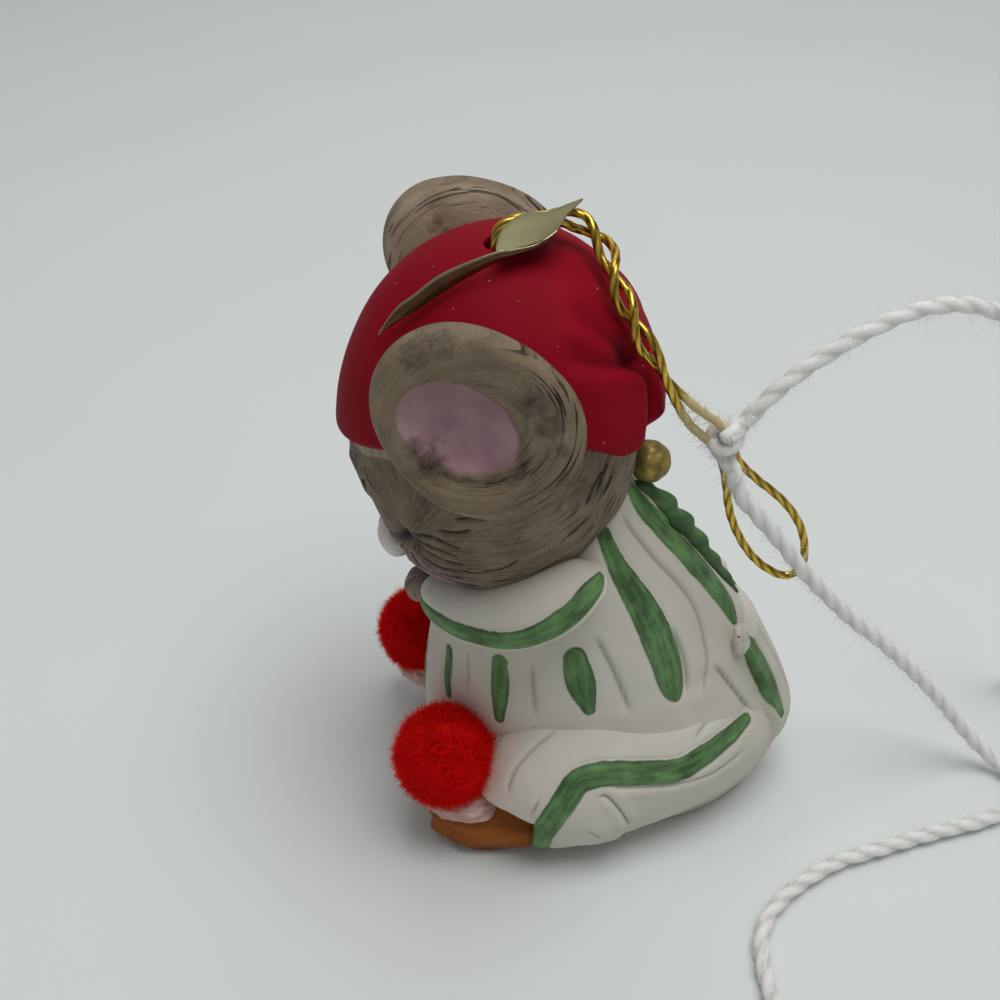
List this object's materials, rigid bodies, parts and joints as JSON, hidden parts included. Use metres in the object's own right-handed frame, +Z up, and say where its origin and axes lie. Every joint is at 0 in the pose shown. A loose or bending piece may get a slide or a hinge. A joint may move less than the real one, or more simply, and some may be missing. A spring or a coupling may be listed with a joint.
{
  "type": "christmas mouse ornament",
  "caption": "Seated bisque mouse ornament in striped pyjamas and a red nightcap, with pompom slippers, a gold hanging loop, a folded foil tag that swings on the cord and a tied cotton string.",
  "frame": {"origin": "on the table under the middle of the mouse's box, its cord and string left out", "axes": "+Z up, the mouse faces -Y, its left side is +X"},
  "size_m": [0.0562, 0.0873, 0.0724],
  "materials": {
    "pyjama_bisque": "unglazed off-white bisque with brushed green stripes in the relief",
    "ruffle_green": "unglazed bisque brushed with thin green paint",
    "fur_bisque": "unglazed bisque stained grey-brown, with dark incised fur strokes",
    "muzzle_white": "pale grey-white painted bisque",
    "paw_pink": "pinkish painted bisque",
    "cap_crimson": "smooth matte crimson paint on bisque",
    "gold_paint": "antique gold paint on bisque",
    "slipper_ochre": "ochre-brown brushed paint on bisque",
    "pompom_fibre": "bright red acrylic pile",
    "craft_glue": "dried craft glue stained pink by dye",
    "gold_thread": "metallic gold foil wrapped on a yellow core",
    "foil_paper": "champagne-gold foil on card, left bare",
    "cotton_string": "white two-ply cotton, slightly fuzzy"
  },
  "bodies": {
    "mouse": {"body_shell": "pyjama_bisque", "left_leg": "pyjama_bisque", "right_leg": "pyjama_bisque", "left_sleeve": "pyjama_bisque", "right_sleeve": "pyjama_bisque", "seat_flap": "pyjama_bisque", "left_seat_button": "pyjama_bisque", "right_seat_button": "pyjama_bisque", "back_ruffle": "ruffle_green", "head": "fur_bisque", "left_ear": "fur_bisque", "right_ear": "fur_bisque", "nose": "muzzle_white", "left_paw": "paw_pink", "right_paw": "paw_pink", "nightcap": "cap_crimson", "cap_bobble": "gold_paint", "left_slipper": "slipper_ochre", "right_slipper": "slipper_ochre", "left_pompom": "pompom_fibre", "right_pompom": "pompom_fibre", "left_pompom_glue": "craft_glue", "right_pompom_glue": "craft_glue", "hanger_cord": "gold_thread", "cord_stop_knot": "gold_thread", "tie_string_knot": "cotton_string", "tie_string_upper": "cotton_string", "tie_string_lower": "cotton_string"},
    "tag": {"hang_tag": "foil_paper"}
  },
  "joints": [
    {"name": "tag_lift", "type": "hinge", "parent": "mouse", "child": "tag", "pos_m": [0.002, -0.0077, 0.07055], "axis": [0.2113, -0.9774, 0], "range_deg": [0, 140]}
  ]
}
